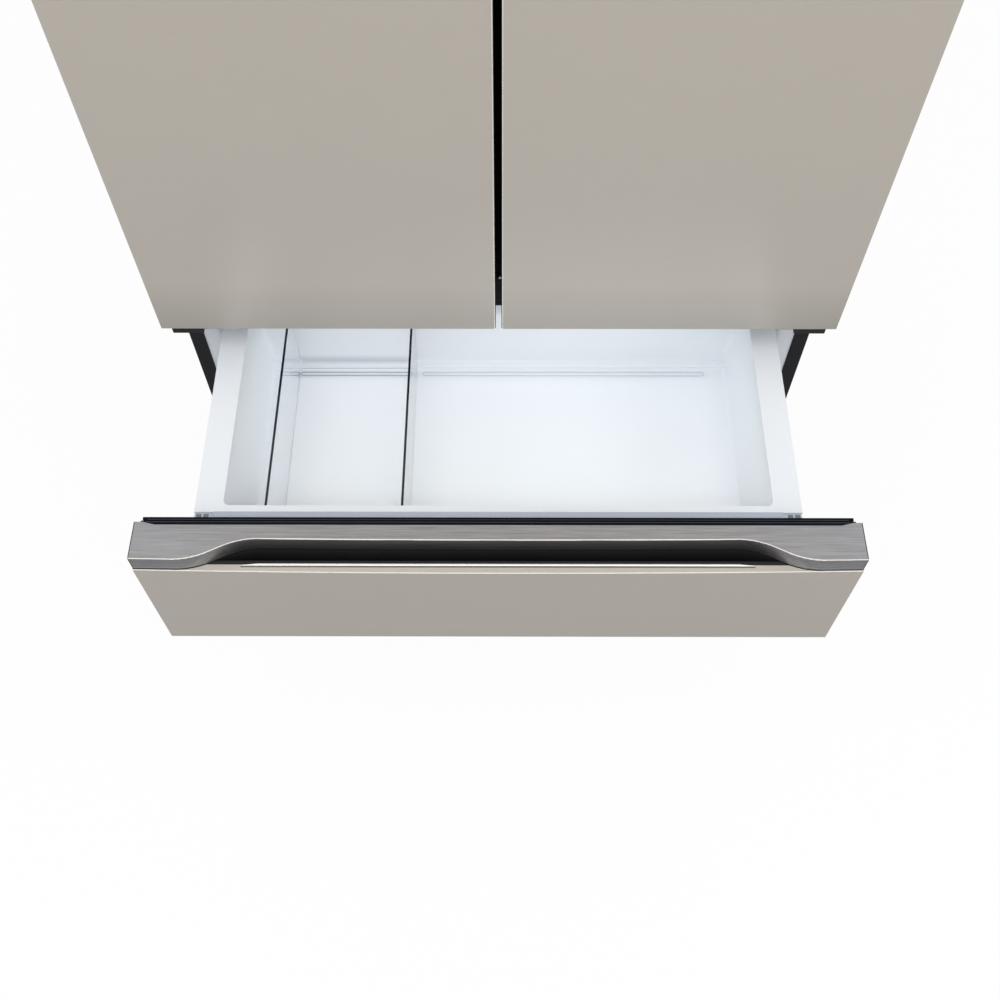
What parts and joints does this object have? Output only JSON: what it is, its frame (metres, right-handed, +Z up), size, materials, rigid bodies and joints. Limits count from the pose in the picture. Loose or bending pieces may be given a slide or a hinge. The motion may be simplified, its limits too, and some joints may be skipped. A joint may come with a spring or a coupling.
{
  "type": "four-door refrigerator",
  "caption": "French-door refrigerator with a shallow middle drawer pulled open under the doors, scooped handle rails, clear dividers and a lower freezer drawer.",
  "frame": {"origin": "on the floor, under the middle of the whole part as it stands with the middle drawer open", "axes": "+X to the viewer's right along the front, +Y from the front to the back, +Z up"},
  "size_m": [0.912, 1.0649, 1.7779],
  "materials": {
    "front_paint": "satin",
    "case_paint": "satin",
    "handle_steel": "satin",
    "galvanised": "matte",
    "black_plastic": "matte",
    "grey_plastic": "matte",
    "white_plastic": "satin",
    "clear_plastic": "gloss",
    "seal_rubber": "matte",
    "shelf_glass": "gloss",
    "coil_aluminium": "satin",
    "compressor_paint": "satin",
    "foam": "matte",
    "roller_nylon": "matte"
  },
  "bodies": {
    "cabinet": {"back_panel": "galvanised", "base_pan": "galvanised", "centre_post": "black_plastic", "compressor": "compressor_paint", "condenser": "coil_aluminium", "cross_rails": "case_paint", "door_hinges": "case_paint", "drain_pan": "black_plastic", "drawer_tracks": "galvanised", "evaporator": "coil_aluminium", "freezer_duct": "white_plastic", "freezer_liner": "white_plastic", "fresh_duct": "white_plastic", "fresh_liner": "white_plastic", "hinge_covers": "black_plastic", "insulation": "foam", "machine_cover": "galvanised", "middle_liner": "white_plastic", "outer_case": "case_paint", "power_inlet": "black_plastic", "shelf_supports": "galvanised", "shelves": "shelf_glass", "toe_grille": "black_plastic"},
    "left_door": {"left_door_panel": "front_paint", "left_door_body": "grey_plastic", "left_door_liner": "white_plastic", "left_door_gasket": "seal_rubber", "left_door_bins": "clear_plastic"},
    "right_door": {"right_door_panel": "front_paint", "right_door_body": "grey_plastic", "right_door_liner": "white_plastic", "right_door_gasket": "seal_rubber", "right_door_bins": "clear_plastic"},
    "middle_drawer": {"middle_panel": "front_paint", "middle_rail": "handle_steel", "middle_front_body": "black_plastic", "middle_front_liner": "white_plastic", "middle_gasket": "seal_rubber", "middle_bin": "white_plastic", "middle_runners": "galvanised"},
    "middle_slide_members": {"middle_slides": "galvanised"},
    "freezer_drawer": {"freezer_panel": "front_paint", "freezer_rail": "handle_steel", "freezer_front_body": "black_plastic", "freezer_front_liner": "white_plastic", "freezer_gasket": "seal_rubber", "freezer_bin": "white_plastic", "freezer_runners": "galvanised"},
    "freezer_slide_members": {"freezer_slides": "galvanised"},
    "left_divider_body": {"left_divider": "clear_plastic"},
    "right_divider_body": {"right_divider": "clear_plastic"},
    "freezer_tray_body": {"freezer_tray": "white_plastic"},
    "left_crisper_body": {"left_crisper": "clear_plastic"},
    "right_crisper_body": {"right_crisper": "clear_plastic"},
    "evaporator_fan_body": {"evaporator_fan": "black_plastic"},
    "condenser_fan_body": {"condenser_fan": "black_plastic"},
    "front_rollers_body": {"front_rollers": "roller_nylon"},
    "rear_rollers_body": {"rear_rollers": "roller_nylon"},
    "left_leg_body": {"left_leg": "galvanised"},
    "right_leg_body": {"right_leg": "galvanised"}
  },
  "joints": [
    {"name": "left_door_hinge", "type": "hinge", "parent": "cabinet", "child": "left_door", "pos_m": [-0.443, -0.16655, 0.7749], "axis": [0, 0, -1], "range_deg": [0, 120]},
    {"name": "right_door_hinge", "type": "hinge", "parent": "cabinet", "child": "right_door", "pos_m": [0.443, -0.16655, 0.7749], "axis": [0, 0, 1], "range_deg": [0, 120]},
    {"name": "middle_drawer_slide", "type": "slide", "parent": "cabinet", "child": "middle_drawer", "axis": [0, -1, 0], "range_m": [-0.3369, 0.0781]},
    {"name": "middle_member_slide", "type": "slide", "parent": "cabinet", "child": "middle_slide_members", "axis": [0, -1, 0], "range_m": [-0.16845, 0.03905]},
    {"name": "freezer_drawer_slide", "type": "slide", "parent": "cabinet", "child": "freezer_drawer", "axis": [0, -1, 0], "range_m": [0, 0.415]},
    {"name": "freezer_member_slide", "type": "slide", "parent": "cabinet", "child": "freezer_slide_members", "axis": [0, -1, 0], "range_m": [0, 0.2075]},
    {"name": "left_divider_slide", "type": "slide", "parent": "middle_drawer", "child": "left_divider_body", "axis": [1, 0, 0], "range_m": [-0.028, 0.06]},
    {"name": "right_divider_slide", "type": "slide", "parent": "middle_drawer", "child": "right_divider_body", "axis": [1, 0, 0], "range_m": [-0.06, 0.45]},
    {"name": "freezer_tray_slide", "type": "slide", "parent": "freezer_drawer", "child": "freezer_tray_body", "axis": [0, 1, 0], "range_m": [0, 0.1]},
    {"name": "left_crisper_slide", "type": "slide", "parent": "cabinet", "child": "left_crisper_body", "axis": [0, -1, 0], "range_m": [0, 0.085]},
    {"name": "right_crisper_slide", "type": "slide", "parent": "cabinet", "child": "right_crisper_body", "axis": [0, -1, 0], "range_m": [0, 0.085]},
    {"name": "evaporator_fan_spin", "type": "hinge", "parent": "cabinet", "child": "evaporator_fan_body", "pos_m": [0, 0.31345, 0.4266], "axis": [0, 1, 0], "continuous": true},
    {"name": "condenser_fan_spin", "type": "hinge", "parent": "cabinet", "child": "condenser_fan_body", "pos_m": [0.02, 0.44195, 0.152], "axis": [1, 0, 0], "continuous": true},
    {"name": "front_roller_spin", "type": "hinge", "parent": "cabinet", "child": "front_rollers_body", "pos_m": [0, -0.04155, 0.02], "axis": [1, 0, 0], "continuous": true},
    {"name": "rear_roller_spin", "type": "hinge", "parent": "cabinet", "child": "rear_rollers_body", "pos_m": [0, 0.49645, 0.02], "axis": [1, 0, 0], "continuous": true},
    {"name": "left_leg_turn", "type": "hinge", "parent": "cabinet", "child": "left_leg_body", "pos_m": [-0.422, -0.09355, 0], "axis": [0, 0, 1], "continuous": true},
    {"name": "right_leg_turn", "type": "hinge", "parent": "cabinet", "child": "right_leg_body", "pos_m": [0.422, -0.09355, 0], "axis": [0, 0, 1], "continuous": true}
  ],
  "couplings": [
    {"joint": "middle_member_slide", "follows": "middle_drawer_slide", "ratio": 0.5},
    {"joint": "freezer_member_slide", "follows": "freezer_drawer_slide", "ratio": 0.5}
  ]
}
